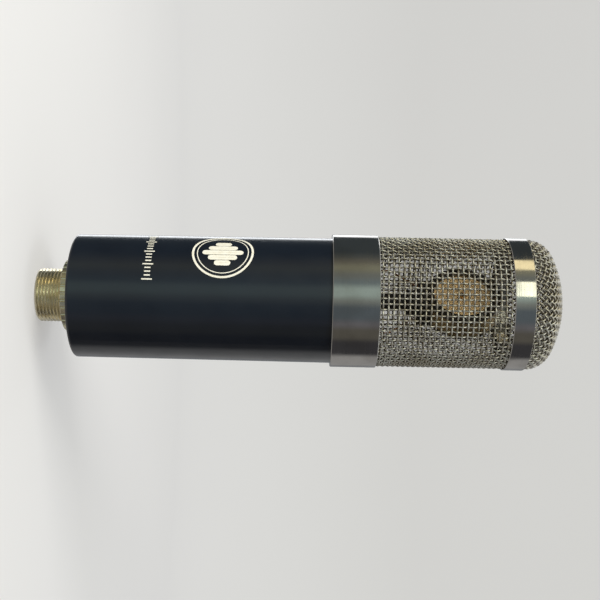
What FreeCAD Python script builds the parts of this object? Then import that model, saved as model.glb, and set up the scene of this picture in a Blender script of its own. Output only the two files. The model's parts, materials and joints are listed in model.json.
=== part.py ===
import FreeCAD, Part

import math
import os
import Sketcher
from types import SimpleNamespace

# Side-address microphone. The origin is the centre of the connector's end face, +Z runs along the
# axis to the grille and -Y is the front, the side that is spoken to. All sizes are in millimetres.

SIZES = {
    # heights along the axis, from the connector's end face
    "stub_length": 17.0,
    "body_floor_thickness": 3.0,
    "body_top": 132.0,
    "collar_top": 152.5,
    "band_bottom": 210.0,
    "band_top": 219.0,
    "total_height": 236.0,
    "capsule_centre": 191.5,
    # body tube
    "body_radius_low": 27.75,
    "body_radius_top": 28.25,
    "bore_radius": 25.75,
    "body_edge_round": 1.2,
    # collar, band and mesh
    "collar_radius": 30.0,
    "collar_edge": 0.25,
    "spigot_length": 8.0,
    "spigot_thickness": 2.2,
    "lip_thickness": 0.45,
    "mesh_seat_depth": 2.0,
    "mesh_radius": 29.5,
    "mesh_thickness": 1.6,
    "fine_mesh_gap": 0.4,
    "fine_mesh_thickness": 0.3,
    "band_inner_radius": 26.8,
    "dome_cap_radius": 50.0,
    "dome_shoulder_radius": 11.0,
    # connector housing, its thread and what is screwed on it
    "thread_radius": 12.0,
    "neck_radius": 12.5,
    "neck_clearance": 0.1,
    "socket_radius": 8.2,
    "socket_depth": 13.0,
    "insert_radius": 8.75,
    "insert_clearance": 0.05,
    "insert_length": 6.0,
    "flange_radius": 25.2,
    "flange_thickness": 4.0,
    "flange_hole_depth": 3.0,
    "lock_ring_radius": 16.0,
    "lock_ring_height": 4.0,
    "lock_ring_flutes": 30,
    "lock_ring_flute_radius": 0.7,
    "gasket_radius": 15.4,
    "gasket_thickness": 0.8,
    "contact_radius": 1.2,
    "contact_circle_radius": 4.05,
    "contact_recess": 1.5,
    "contact_tip": 1.2,
    "contact_tail": 3.0,
    "insert_screw_radius": 1.3,
    "insert_screw_offset": 5.8,
    # switches
    "switch_plate_low": 34.0,
    "switch_plate_high": 78.0,
    "switch_plate_width": 15.0,
    "switch_plate_radius": 28.3,
    "switch_plate_thickness": 2.4,
    "switch_plate_gap": 0.1,
    "switch_middle": 56.0,
    "switch_spacing": 11.0,
    "switch_travel": 3.0,
    "knob_width": 3.4,
    "knob_height": 2.8,
    "knob_clearance": 0.3,
    "knob_reach": 29.3,
    "knob_root": 22.8,
    "knob_ridge": 0.5,
    "knob_flange_front": 25.2,
    "knob_flange_thickness": 0.7,
    "knob_flange_width": 5.6,
    "knob_flange_height": 4.4,
    "switch_case_front": 24.2,
    "switch_case_depth": 4.0,
    "switch_case_width": 11.0,
    "switch_case_height": 6.4,
    "switch_case_recess": 1.8,
    "switch_board_thickness": 1.2,
    "switch_board_width": 14.0,
    "switch_board_height": 42.0,
    "plate_screw_radius": 1.6,
    "plate_screw_inset": 3.6,
    "plate_screw_head": 1.2,
    "screw_slot_width": 0.6,
    "screw_slot_depth": 0.5,
    # chassis inside the body
    "end_plate_radius": 25.2,
    "end_plate_thickness": 3.0,
    "wire_hole_radius": 9.0,
    "rail_offset": 20.0,
    "rail_thickness": 3.0,
    "rail_width": 8.0,
    "head_plate_thickness": 3.0,
    "head_plate_gap": 3.5,
    "head_plate_radius": 26.4,
    "screw_head_radius": 1.6,
    "screw_head_height": 1.2,
    "screw_shank_radius": 0.9,
    "screw_hole_radius": 1.0,
    "screw_depth": 5.0,
    "end_screw_circle": 20.0,
    "rail_screw_pitch": 4.4,
    # circuit boards
    "board_gap": 2.0,
    "board_thickness": 1.6,
    "board_width": 43.0,
    "board_top": 142.0,
    "front_board_low": 62.0,
    "rear_board_low": 84.0,
    "board_screw_inset": 4.0,
    "spacer_radius": 1.9,
    # transformer
    "core_width": 26.0,
    "core_height": 22.0,
    "core_depth": 14.0,
    "core_low": 31.0,
    "core_limb": 4.0,
    "core_centre_limb": 8.0,
    "core_window_height": 14.0,
    "winding_depth": 19.0,
    "winding_gap": 0.1,
    "bracket_thickness": 1.5,
    "bracket_height": 19.0,
    "bracket_depth": 11.2,
    "bracket_foot": 5.5,
    # parts on the boards
    "film_cap_low": 103.6,
    "film_cap_pitch": 12.65,
    "film_cap_width": 11.0,
    "film_cap_height": 16.0,
    "film_cap_depth": 7.0,
    "can_radius": 4.0,
    "can_length": 14.0,
    "can_pitch": 12.0,
    "resistor_radius": 1.15,
    "resistor_length": 6.3,
    "resistor_column": 7.56,
    "resistor_row": 5.75,
    "resistor_inset": 8.625,
    "transistor_radius": 2.4,
    "transistor_height": 3.6,
    "transistor_rim_radius": 2.76,
    "transistor_rim_height": 0.6,
    "wire_radius": 0.7,
    "wire_bend_radius": 4.0,
    "wire_corner_radius": 1.75,
    "wire_spacing": 3.5,
    "wire_overlap": 2.8,
    # capsule, measured from its middle plane
    "capsule_radius": 17.0,
    "spacer_half": 1.2,
    "spacer_inner_radius": 12.0,
    "backplate_thickness": 3.0,
    "membrane_radius": 13.0,
    "membrane_thickness": 0.3,
    "membrane_clearance": 0.05,
    "clamp_ring_thickness": 1.4,
    "ring_screw_count": 12,
    "ring_screw_circle": 15.1,
    "ring_screw_radius": 0.9,
    "ring_screw_head": 0.5,
    "ring_screw_shank": 0.5,
    "ring_screw_hole": 0.55,
    "terminal_radius": 1.7,
    "terminal_height": 1.1,
    "terminal_hole": 0.9,
    # what carries the capsule
    "post_radius": 4.0,
    "post_foot_radius": 7.5,
    "post_foot_height": 1.6,
    "post_height": 17.5,
    "damper_radius": 6.0,
    "damper_height": 4.0,
    "damper_waist": 0.8,
    "saddle_width": 17.0,
    "saddle_depth": 11.0,
    "saddle_height": 7.0,
    "saddle_clearance": 0.05,
    "lead_post_radius": 1.8,
    "lead_post_height": 5.0,
    "lead_post_offset": 10.0,
    "lead_radius": 0.35,
    "lead_standoff": 3.5,
    "lead_bend_radius": 3.0,
    "lead_corner_radius": 1.05,
    "lead_drop": 4.5,
}


class Size:
    """A length that depends on the sheet: the expression to bind and its value at this moment."""

    def __init__(self, text, value):
        self.text = text
        self.value = value

    def joined(self, sign, other, value):
        return Size(f"({self.text} {sign} {size(other).text})", value)

    def __add__(self, other):
        return self.joined("+", other, self.value + size(other).value)

    def __sub__(self, other):
        return self.joined("-", other, self.value - size(other).value)

    def __mul__(self, other):
        return self.joined("*", other, self.value * size(other).value)

    def __truediv__(self, other):
        return self.joined("/", other, self.value / size(other).value)

    def __neg__(self):
        return Size(f"(0 - {self.text})", -self.value)


def size(number):
    """The number itself as a Size, unless it is one already."""
    if isinstance(number, Size):
        return number
    return Size(f"({number})", float(number))


def root(square):
    return Size(f"sqrt({square.text})", math.sqrt(square.value))


doc = FreeCAD.newDocument("microphone")
sheet = doc.addObject("Spreadsheet::Sheet", "Sizes")
for row, (alias, number) in enumerate(SIZES.items(), 1):
    sheet.set(f"A{row}", alias)
    sheet.set(f"B{row}", str(number))
    sheet.setAlias(f"B{row}", alias)
doc.recompute()
S = SimpleNamespace(**{alias: Size(f"Sizes.{alias}", float(n)) for alias, n in SIZES.items()})

nodes = []

UP = FreeCAD.Rotation()
FORWARD = FreeCAD.Rotation(FreeCAD.Vector(1, 0, 0), 90)  # turns +Z to -Y, the front
BACKWARD = FreeCAD.Rotation(FreeCAD.Vector(1, 0, 0), -90)  # turns +Z to +Y, the back
SIDEWAYS = FreeCAD.Rotation(FreeCAD.Vector(0, 1, 0), 90)  # turns +Z to +X


def node(thing, label):
    """Names a finished sub-part and keeps it for the export."""
    thing.Label = label
    nodes.append(thing)
    return thing


def bind(thing, **properties):
    for name, length in properties.items():
        setattr(thing, name, size(length).value)
        thing.setExpression(name, size(length).text)


def place(thing, x=0, y=0, z=0, turn=UP):
    corner = [size(x), size(y), size(z)]
    thing.Placement = FreeCAD.Placement(FreeCAD.Vector(*[c.value for c in corner]), turn)
    for axis, length in zip("xyz", corner):
        thing.setExpression(f".Placement.Base.{axis}", length.text)
    return thing


# ---- Part primitives and booleans ----


def box(low, extent):
    solid = doc.addObject("Part::Box", "Block")
    bind(solid, Length=extent[0], Width=extent[1], Height=extent[2])
    return place(solid, *low)


def cylinder(radius, height, x=0, y=0, z=0, turn=UP):
    solid = doc.addObject("Part::Cylinder", "Rod")
    bind(solid, Radius=radius, Height=height)
    return place(solid, x, y, z, turn)


def cone(radius_low, radius_high, height, x=0, y=0, z=0, turn=UP):
    solid = doc.addObject("Part::Cone", "Taper")
    bind(solid, Radius1=radius_low, Radius2=radius_high, Height=height)
    return place(solid, x, y, z, turn)


def fuse(*solids):
    joined = doc.addObject("Part::MultiFuse", "Joined")
    joined.Shapes = list(solids)
    return joined


def cut(base, *tools):
    result = doc.addObject("Part::Cut", "Trimmed")
    result.Base = base
    result.Tool = tools[0] if len(tools) == 1 else fuse(*tools)
    return result


def common(base, tool):
    result = doc.addObject("Part::Common", "Shared")
    result.Base = base
    result.Tool = tool
    return result


# ---- PartDesign bodies ----


def origin_feature(body, role):
    return next(f for f in body.Origin.OriginFeatures if f.Role == role)


def sketch_on(body, plane, name, offset=0):
    """A sketch on one of the body's own planes, moved along the plane's normal."""
    sketch = body.newObject("Sketcher::SketchObject", name)
    sketch.AttachmentSupport = (origin_feature(body, plane), [""])
    sketch.MapMode = "FlatFace"
    sketch.AttachmentOffset = FreeCAD.Placement(FreeCAD.Vector(0, 0, size(offset).value), UP)
    sketch.setExpression("AttachmentOffset.Base.z", size(offset).text)
    return sketch


def dimension(sketch, kind, *arguments):
    """Adds a sketch constraint whose last argument is a Size, and binds it to the sheet."""
    length = arguments[-1]
    index = sketch.addConstraint(Sketcher.Constraint(kind, *arguments[:-1], length.value))
    sketch.setExpression(f"Constraints[{index}]", length.text)


def outline(sketch, corners, centres=None):
    """Draws a closed loop through corners. centres maps a side's number to its arc's centre."""
    centres = centres or {}
    corners = [(size(x), size(y)) for x, y in corners]
    points = [FreeCAD.Vector(x.value, y.value, 0) for x, y in corners]
    sides = []
    for i, start in enumerate(points):
        end = points[(i + 1) % len(points)]
        if i not in centres:
            sides.append((sketch.addGeometry(Part.LineSegment(start, end)), 1, 2))
            continue
        middle = FreeCAD.Vector(size(centres[i][0]).value, size(centres[i][1]).value, 0)
        angles = [math.atan2(p.y - middle.y, p.x - middle.x) for p in (start, end)]
        turned_left = (angles[1] - angles[0]) % (2 * math.pi) <= math.pi + 1e-9
        first, last = angles if turned_left else reversed(angles)
        circle = Part.Circle(middle, FreeCAD.Vector(0, 0, 1), (start - middle).Length)
        arc = sketch.addGeometry(Part.ArcOfCircle(circle, first, last))
        sides.append((arc, 1, 2) if turned_left else (arc, 2, 1))
    for i, (side, _, end) in enumerate(sides):
        following, start, _ = sides[(i + 1) % len(sides)]
        sketch.addConstraint(Sketcher.Constraint("Coincident", side, end, following, start))
    for (side, start, _), (x, y) in zip(sides, corners):
        dimension(sketch, "DistanceX", -1, 1, side, start, x)
        dimension(sketch, "DistanceY", -1, 1, side, start, y)
    for i, centre in centres.items():
        dimension(sketch, "DistanceY", -1, 1, sides[i][0], 3, size(centre[1]))


def circle_in(sketch, x, y, radius):
    x, y, radius = size(x), size(y), size(radius)
    middle = FreeCAD.Vector(x.value, y.value, 0)
    ring = sketch.addGeometry(Part.Circle(middle, FreeCAD.Vector(0, 0, 1), radius.value))
    dimension(sketch, "Radius", ring, radius)
    dimension(sketch, "DistanceX", -1, 1, ring, 3, x)
    dimension(sketch, "DistanceY", -1, 1, ring, 3, y)


def turned(label, corners, centres=None):
    """A body turned about its own Z axis from a half profile of (radius, height) corners."""
    body = node(doc.addObject("PartDesign::Body", "Turned"), label)
    sketch = sketch_on(body, "XZ_Plane", "Profile")
    outline(sketch, corners, centres)
    revolution = body.newObject("PartDesign::Revolution", "Turning")
    revolution.Profile = sketch
    revolution.ReferenceAxis = (sketch, ["V_Axis"])
    revolution.Angle = 360
    doc.recompute()
    return body


def edges_at(body, radius, height):
    """Names of the body's round edges of this radius at this height."""
    names = []
    for i, edge in enumerate(body.Shape.Edges, 1):
        if not isinstance(edge.Curve, Part.Circle):
            continue
        same_radius = abs(edge.Curve.Radius - radius.value) < 1e-4
        if same_radius and abs(edge.Curve.Center.z - height.value) < 1e-4:
            names.append(f"Edge{i}")
    return names


def dress(body, kind, amount, *rims):
    """Rounds or chamfers the edges given by radius and height."""
    names = [name for radius, height in rims for name in edges_at(body, radius, height)]
    base = body.Tip
    feature = body.newObject(f"PartDesign::{kind}", kind)
    feature.Base = (base, names)
    if kind == "Fillet":
        bind(feature, Radius=amount)
    else:
        bind(feature, Size=amount)
    body.Tip = feature
    doc.recompute()


def removed(body, feature, before):
    """Stops the build where a cut took nothing away."""
    doc.recompute()
    if body.Shape.Volume > before - 1e-3:
        raise RuntimeError(f"{feature.Name} cuts nothing from {body.Label}")


def repeat_round(body, features, count):
    """Repeats features about the body's Z axis, count times in all."""
    pattern = body.newObject("PartDesign::PolarPattern", "Repeated")
    pattern.Originals = features
    pattern.Axis = (origin_feature(body, "Z_Axis"), [""])
    pattern.Angle = 360
    pattern.Occurrences = int(size(count).value)
    pattern.setExpression("Occurrences", size(count).text)
    body.Tip = pattern
    return pattern


def drill(body, x, y, radius, low, depth, count=1):
    """Cuts a round hole along Z from height low upwards, repeated count times about the axis."""
    before = body.Shape.Volume
    sketch = sketch_on(body, "XY_Plane", "HolePlace", low)
    circle_in(sketch, x, y, radius)
    pocket = body.newObject("PartDesign::Pocket", "Drilling")
    pocket.Profile = sketch
    pocket.Reversed = True
    bind(pocket, Length=depth)
    removed(body, pocket, before)
    if count != 1:
        before = body.Shape.Volume
        removed(body, repeat_round(body, [pocket], count), before)


def plain_ring(label, inner, outer, low, high):
    return turned(label, [(inner, low), (outer, low), (outer, high), (inner, high)])


# ---- outside ----


def stadium(width, low, high, gap=0):
    """Corners and arc centres of an upright oval, grown by gap all round."""
    half = size(width) / 2 + gap
    bottom = size(low) + size(width) / 2
    top = size(high) - size(width) / 2
    corners = [(-half, bottom), (half, bottom), (half, top), (-half, top)]
    return corners, {0: (0, bottom), 2: (0, top)}


def body_tube():
    floor_top = S.stub_length + S.body_floor_thickness
    neck = S.neck_radius + S.neck_clearance
    body = turned(
        "body_tube",
        [
            (neck, S.stub_length),
            (S.body_radius_low, S.stub_length),
            (S.body_radius_top, S.body_top),
            (S.bore_radius, S.body_top),
            (S.bore_radius, floor_top),
            (neck, floor_top),
        ],
    )
    dress(body, "Fillet", S.body_edge_round, (S.body_radius_low, S.stub_length))
    before = body.Shape.Volume
    window = sketch_on(body, "XZ_Plane", "SwitchWindow")
    outline(
        window,
        *stadium(
            S.switch_plate_width, S.switch_plate_low, S.switch_plate_high, S.switch_plate_gap
        ),
    )
    pocket = body.newObject("PartDesign::Pocket", "WindowCut")
    pocket.Profile = window
    bind(pocket, Length=S.collar_radius)
    removed(body, pocket, before)


def collar_ring():
    spigot_radius = S.bore_radius - S.insert_clearance
    inner = spigot_radius - S.spigot_thickness
    seat = S.collar_top - S.mesh_seat_depth
    shelf = head_plate_bottom()
    ledge = S.head_plate_radius + S.insert_clearance
    body = turned(
        "collar_ring",
        [
            (inner, S.body_top - S.spigot_length),
            (spigot_radius, S.body_top - S.spigot_length),
            (spigot_radius, S.body_top),
            (S.collar_radius, S.body_top),
            (S.collar_radius, S.collar_top),
            (S.collar_radius - S.lip_thickness, S.collar_top),
            (S.collar_radius - S.lip_thickness, seat),
            (ledge, seat),
            (ledge, shelf),
            (inner, shelf),
        ],
    )
    rims = [(S.collar_radius, S.body_top), (S.collar_radius, S.collar_top)]
    dress(body, "Chamfer", S.collar_edge, *rims)


def grille_band():
    lip = S.collar_radius - S.lip_thickness
    low_seat = S.band_bottom + S.mesh_seat_depth
    high_seat = S.band_top - S.mesh_seat_depth
    body = turned(
        "grille_band",
        [
            (lip, S.band_bottom),
            (S.collar_radius, S.band_bottom),
            (S.collar_radius, S.band_top),
            (lip, S.band_top),
            (lip, high_seat),
            (S.band_inner_radius, high_seat),
            (S.band_inner_radius, low_seat),
            (lip, low_seat),
        ],
    )
    rims = [(S.collar_radius, S.band_bottom), (S.collar_radius, S.band_top)]
    dress(body, "Chamfer", S.collar_edge, *rims)


def mesh_cylinder(label, outer, thickness):
    low = S.collar_top - S.mesh_seat_depth
    high = S.band_bottom + S.mesh_seat_depth
    plain_ring(label, outer - thickness, outer, low, high)


def mesh_dome(label, inset, thickness):
    """A shallow cap with rounded shoulders: two arcs that meet in line, inset from the outside."""
    low = S.band_top - S.mesh_seat_depth
    shoulder_x = S.mesh_radius - S.dome_shoulder_radius
    centres_apart = S.dome_cap_radius - S.dome_shoulder_radius
    rise = root(centres_apart * centres_apart - shoulder_x * shoulder_x)
    cap_centre = S.total_height - S.dome_cap_radius
    shoulder_z = cap_centre + rise

    def surface(depth):
        cap = S.dome_cap_radius - depth
        join = (shoulder_x * cap / centres_apart, cap_centre + rise * cap / centres_apart)
        return (S.mesh_radius - depth, shoulder_z), join, (0, cap_centre + cap)

    outer = surface(size(inset))
    inner = surface(size(inset) + thickness)
    corners = [(outer[0][0], low), *outer, *reversed(inner), (inner[0][0], low)]
    shoulder = (shoulder_x, shoulder_z)
    cap = (0, cap_centre)
    turned(label, corners, {1: shoulder, 2: cap, 4: cap, 5: shoulder})


# ---- connector ----


def lock_ring_low():
    return S.stub_length - S.gasket_thickness - S.lock_ring_height


def connector_housing():
    flange_low = S.stub_length + S.body_floor_thickness
    flange_high = flange_low + S.flange_thickness
    bore = S.insert_radius + S.insert_clearance
    body = turned(
        "connector_housing",
        [
            (S.socket_radius, 0),
            (S.thread_radius, 0),
            (S.thread_radius, lock_ring_low()),
            (S.neck_radius, lock_ring_low()),
            (S.neck_radius, flange_low),
            (S.flange_radius, flange_low),
            (S.flange_radius, flange_high),
            (bore, flange_high),
            (bore, S.socket_depth),
            (S.socket_radius, S.socket_depth),
        ],
    )
    dress(body, "Chamfer", S.collar_edge, (S.thread_radius, size(0)), (S.socket_radius, size(0)))
    place_on_diagonal = S.end_screw_circle / root(size(2))
    low = flange_high - S.flange_hole_depth
    drill(
        body, place_on_diagonal, place_on_diagonal, S.screw_hole_radius, low,
        S.flange_hole_depth, 4,
    )


def lock_ring():
    """The fluted ring on the neck, above the free thread."""
    low = lock_ring_low()
    high = low + S.lock_ring_height
    inner = S.neck_radius + S.neck_clearance
    body = plain_ring("lock_ring", inner, S.lock_ring_radius, low, high)
    rims = [(S.lock_ring_radius, low), (S.lock_ring_radius, high)]
    dress(body, "Chamfer", S.collar_edge, *rims)
    drill(
        body, S.lock_ring_radius, 0, S.lock_ring_flute_radius, low, S.lock_ring_height,
        S.lock_ring_flutes,
    )


def base_gasket():
    inner = S.neck_radius + S.neck_clearance
    low = S.stub_length - S.gasket_thickness
    plain_ring("base_gasket", inner, S.gasket_radius, low, S.stub_length)


CONTACT_ANGLES = (45, 135, 270)


def contact_places():
    for degrees in CONTACT_ANGLES:
        angle = math.radians(degrees)
        yield S.contact_circle_radius * math.cos(angle), S.contact_circle_radius * math.sin(angle)


def xlr_insulator():
    high = S.socket_depth + S.insert_length
    body = turned(
        "xlr_insulator",
        [(0, S.socket_depth), (S.insert_radius, S.socket_depth), (S.insert_radius, high), (0, high)],
    )
    for x, y in contact_places():
        hole = S.contact_radius + S.insert_clearance
        drill(body, x, y, hole, S.socket_depth, S.insert_length)
    drill(body, 0, S.insert_screw_offset, S.screw_hole_radius, S.socket_depth, S.insert_length)


def xlr_contacts():
    solids = []
    body_low = S.contact_recess + S.contact_tip
    high = S.socket_depth + S.insert_length + S.contact_tail
    for x, y in contact_places():
        solids.append(cone(S.contact_radius / 2, S.contact_radius, S.contact_tip, x, y, S.contact_recess))
        solids.append(cylinder(S.contact_radius, high - body_low, x, y, body_low))
    node(fuse(*solids), "xlr_contacts")


def insert_screw():
    y = S.insert_screw_offset
    head_low = S.socket_depth - S.screw_head_height / 2
    head = cylinder(S.insert_screw_radius, S.screw_head_height / 2, 0, y, head_low)
    shank = cylinder(S.screw_shank_radius, S.insert_length, 0, y, S.socket_depth)
    slot = box(
        (-S.insert_screw_radius, y - S.screw_slot_width / 2, head_low - S.screw_slot_depth),
        (S.insert_screw_radius * 2, S.screw_slot_width, S.screw_slot_depth * 2),
    )
    node(cut(fuse(head, shank), slot), "insert_screw")


# ---- switches on the lower back ----


def plate_screw_heights():
    return (
        S.switch_plate_low + S.plate_screw_inset,
        S.switch_plate_high - S.plate_screw_inset,
    )


def switch_heights():
    names = ("voice_switch", "lowcut_switch", "pad_switch")
    return {name: S.switch_middle + S.switch_spacing * (i - 1) for i, name in enumerate(names)}


def switch_plate():
    height = S.switch_plate_high - S.switch_plate_low
    inner = S.switch_plate_radius - S.switch_plate_thickness
    outside = cylinder(S.switch_plate_radius, height, 0, 0, S.switch_plate_low)
    inside = cylinder(inner, height, 0, 0, S.switch_plate_low)
    half = S.switch_plate_width / 2
    low = S.switch_plate_low + half
    high = S.switch_plate_high - half
    reach = S.collar_radius
    prism = fuse(
        box((-half, 0, low), (S.switch_plate_width, reach, high - low)),
        cylinder(half, reach, 0, 0, low, BACKWARD),
        cylinder(half, reach, 0, 0, high, BACKWARD),
    )
    tools = []
    slot_width = S.knob_width + S.switch_travel + S.knob_clearance * 2
    slot_height = S.knob_height + S.knob_clearance * 2
    for z in switch_heights().values():
        corner = (-(slot_width / 2), 0, z - slot_height / 2)
        tools.append(box(corner, (slot_width, reach, slot_height)))
    head_seat = S.switch_plate_radius - S.plate_screw_head
    for z in plate_screw_heights():
        tools.append(cylinder(S.screw_hole_radius, reach, 0, 0, z, BACKWARD))
        seat_radius = S.plate_screw_radius + S.insert_clearance
        tools.append(cylinder(seat_radius, S.plate_screw_head * 2, 0, head_seat, z, BACKWARD))
    node(cut(common(cut(outside, inside), prism), *tools), "switch_plate")


def switch_plate_screws():
    """Two slotted screws, with their heads flush with the plate."""
    solids = []
    slots = []
    seat = S.switch_plate_radius - S.plate_screw_head
    slot_floor = S.switch_plate_radius - S.screw_slot_depth
    for z in plate_screw_heights():
        solids.append(cylinder(S.plate_screw_radius, S.plate_screw_head, 0, seat, z, BACKWARD))
        shank_root = seat - S.screw_depth
        solids.append(cylinder(S.screw_shank_radius, S.screw_depth, 0, shank_root, z, BACKWARD))
        slots.append(
            box(
                (-S.plate_screw_radius, slot_floor, z - S.screw_slot_width / 2),
                (S.plate_screw_radius * 2, S.screw_slot_depth * 2, S.screw_slot_width),
            )
        )
    node(cut(fuse(*solids), *slots), "switch_plate_screws")


def switch_knob(name, z):
    """A sliding knob at the end of its slot, with grip ridges and the flange behind the plate."""
    x = -(S.switch_travel / 2)
    stem = box(
        (x - S.knob_width / 2, S.knob_root, z - S.knob_height / 2),
        (S.knob_width, S.knob_reach - S.knob_root, S.knob_height),
    )
    flange = box(
        (
            x - S.knob_flange_width / 2,
            S.knob_flange_front - S.knob_flange_thickness,
            z - S.knob_flange_height / 2,
        ),
        (S.knob_flange_width, S.knob_flange_thickness, S.knob_flange_height),
    )
    grooves = []
    for side in (-1, 1):
        middle = x + S.knob_ridge * 2 * side
        grooves.append(
            box(
                (middle - S.knob_ridge / 2, S.knob_reach - S.knob_ridge, z - S.knob_height),
                (S.knob_ridge, S.knob_ridge * 2, S.knob_height * 2),
            )
        )
    node(cut(fuse(stem, flange), *grooves), f"{name}_knob")


def switch_case(name, z):
    """The switch behind a knob, open in front where the knob's stem reaches in."""
    width = S.switch_case_width
    height = S.switch_case_height
    low = (-(width / 2), S.switch_case_front - S.switch_case_depth, z - height / 2)
    case = box(low, (width, S.switch_case_depth, height))
    slot_width = S.knob_width + S.switch_travel + S.knob_clearance * 2
    slot_height = S.knob_height + S.knob_clearance * 2
    slot = box(
        (-(slot_width / 2), S.switch_case_front - S.switch_case_recess, z - slot_height / 2),
        (slot_width, S.switch_case_recess * 2, slot_height),
    )
    node(cut(case, slot), f"{name}_case")


def switch_board():
    front = S.switch_case_front - S.switch_case_depth
    low = (
        -(S.switch_board_width / 2),
        front - S.switch_board_thickness,
        S.switch_middle - S.switch_board_height / 2,
    )
    board = box(low, (S.switch_board_width, S.switch_board_thickness, S.switch_board_height))
    node(board, "switch_board")


# ---- chassis ----


def floor_top():
    return S.stub_length + S.body_floor_thickness + S.flange_thickness


def chassis_low():
    return floor_top() + S.end_plate_thickness


def head_plate_bottom():
    return S.collar_top - S.head_plate_gap - S.head_plate_thickness


def rail_screw_places():
    for side in (-1, 1):
        for along in (-1, 1):
            yield S.rail_offset * side, S.rail_screw_pitch / 2 * along


def chassis_end_plate():
    body = plain_ring(
        "chassis_end_plate", S.wire_hole_radius, S.end_plate_radius, floor_top(), chassis_low()
    )
    on_diagonal = S.end_screw_circle / root(size(2))
    drill(
        body, on_diagonal, on_diagonal, S.screw_hole_radius, floor_top(), S.end_plate_thickness, 4
    )


def chassis_screws():
    """Four screws through the end plate into the connector housing's flange."""
    solids = []
    on_diagonal = S.end_screw_circle / root(size(2))
    depth = S.end_plate_thickness + S.flange_hole_depth
    for x, y in ((1, 1), (-1, 1), (-1, -1), (1, -1)):
        place_x, place_y = on_diagonal * x, on_diagonal * y
        solids.append(
            cylinder(S.screw_head_radius, S.screw_head_height, place_x, place_y, chassis_low())
        )
        shank_low = chassis_low() - depth
        solids.append(cylinder(S.screw_shank_radius, depth, place_x, place_y, shank_low))
    node(fuse(*solids), "chassis_screws")


def chassis_rail(name, side):
    height = head_plate_bottom() - chassis_low()
    middle = S.rail_offset * side
    low = (middle - S.rail_thickness / 2, -(S.rail_width / 2), chassis_low())
    rail = box(low, (S.rail_thickness, S.rail_width, height))
    holes = []
    for x, y in rail_screw_places():
        if x.value * side > 0:
            bottom = head_plate_bottom() - S.screw_depth
            holes.append(cylinder(S.screw_hole_radius, S.screw_depth * 2, x, y, bottom))
    node(cut(rail, *holes), name)


def head_plate():
    low = head_plate_bottom()
    body = turned(
        "head_plate",
        [
            (0, low),
            (S.head_plate_radius, low),
            (S.head_plate_radius, low + S.head_plate_thickness),
            (0, low + S.head_plate_thickness),
        ],
    )
    for x, y in rail_screw_places():
        drill(body, x, y, S.screw_hole_radius, low, S.head_plate_thickness)


def head_plate_screws():
    solids = []
    high = head_plate_bottom() + S.head_plate_thickness
    depth = S.head_plate_thickness + S.screw_depth
    for x, y in rail_screw_places():
        solids.append(cylinder(S.screw_head_radius, S.screw_head_height, x, y, high))
        solids.append(cylinder(S.screw_shank_radius, depth, x, y, high - depth))
    node(fuse(*solids), "head_plate_screws")


# ---- circuit boards and what is on them ----


def board_back():
    """Distance of a board's inner face from the axis."""
    return S.rail_width / 2 + S.board_gap


def board_screw_places(low):
    for side in (-1, 1):
        for z in (size(low) + S.board_screw_inset, S.board_top - S.board_screw_inset):
            yield S.rail_offset * side, z


BOARD_SIDES = (("front", -1, FORWARD), ("rear", 1, BACKWARD))


def board_low(name):
    return S.front_board_low if name == "front" else S.rear_board_low


def circuit_board(name, side, turn):
    low = board_low(name)
    corner_y = board_back() if side > 0 else -(board_back() + S.board_thickness)
    corner = (-(S.board_width / 2), corner_y, low)
    board = box(corner, (S.board_width, S.board_thickness, S.board_top - low))
    holes = []
    for x, z in board_screw_places(low):
        holes.append(cylinder(S.screw_hole_radius, board_back() * 2, x, 0, z, turn))
    node(cut(board, *holes), f"{name}_circuit_board")


def board_spacers():
    solids = []
    for name, side, turn in BOARD_SIDES:
        for x, z in board_screw_places(board_low(name)):
            y = S.rail_width / 2 * side
            tube = cylinder(S.spacer_radius, S.board_gap, x, y, z, turn)
            hole = cylinder(S.screw_hole_radius, S.board_gap, x, y, z, turn)
            solids.append(cut(tube, hole))
    node(fuse(*solids), "board_spacers")


def board_screws():
    solids = []
    shank = S.board_gap + S.board_thickness
    for name, side, turn in BOARD_SIDES:
        for x, z in board_screw_places(board_low(name)):
            face = (board_back() + S.board_thickness) * side
            head = cylinder(S.screw_head_radius, S.screw_head_height, x, face, z, turn)
            root_y = S.rail_width / 2 * side
            solids.append(head)
            solids.append(cylinder(S.screw_shank_radius, shank, x, root_y, z, turn))
    node(fuse(*solids), "board_screws")


def film_capacitors():
    solids = []
    depth = S.film_cap_depth
    face = -(board_back() + S.board_thickness + depth)
    for column in (-1, 0, 1):
        middle = S.film_cap_pitch * column
        corner = (middle - S.film_cap_width / 2, face, S.film_cap_low)
        solids.append(box(corner, (S.film_cap_width, depth, S.film_cap_height)))
    node(fuse(*solids), "film_capacitors")


def electrolytic_capacitors():
    solids = []
    y = board_back() + S.board_thickness + S.can_radius
    for column in (-1, 0, 1):
        low = S.rear_board_low + S.can_length
        x = S.can_pitch * column
        solids.append(cylinder(S.can_radius, S.can_length, x, y, low))
    node(fuse(*solids), "electrolytic_capacitors")


RESISTOR_ROWS = 4


def resistors():
    solids = []
    y = -(board_back() + S.board_thickness + S.resistor_radius)
    for column in (-1, 1):
        for row in range(RESISTOR_ROWS):
            middle = S.resistor_column * column
            z = S.front_board_low + S.resistor_inset + S.resistor_row * row
            start = middle - S.resistor_length / 2
            solids.append(cylinder(S.resistor_radius, S.resistor_length, start, y, z, SIDEWAYS))
    node(fuse(*solids), "resistors")


def input_transistor():
    z = S.board_top - S.film_cap_height / 2
    y = -(board_back() + S.board_thickness)
    can = cylinder(S.transistor_radius, S.transistor_height, 0, y, z, FORWARD)
    rim = cylinder(S.transistor_rim_radius, S.transistor_rim_height, 0, y, z, FORWARD)
    node(fuse(can, rim), "input_transistor")


# ---- output transformer ----


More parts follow.
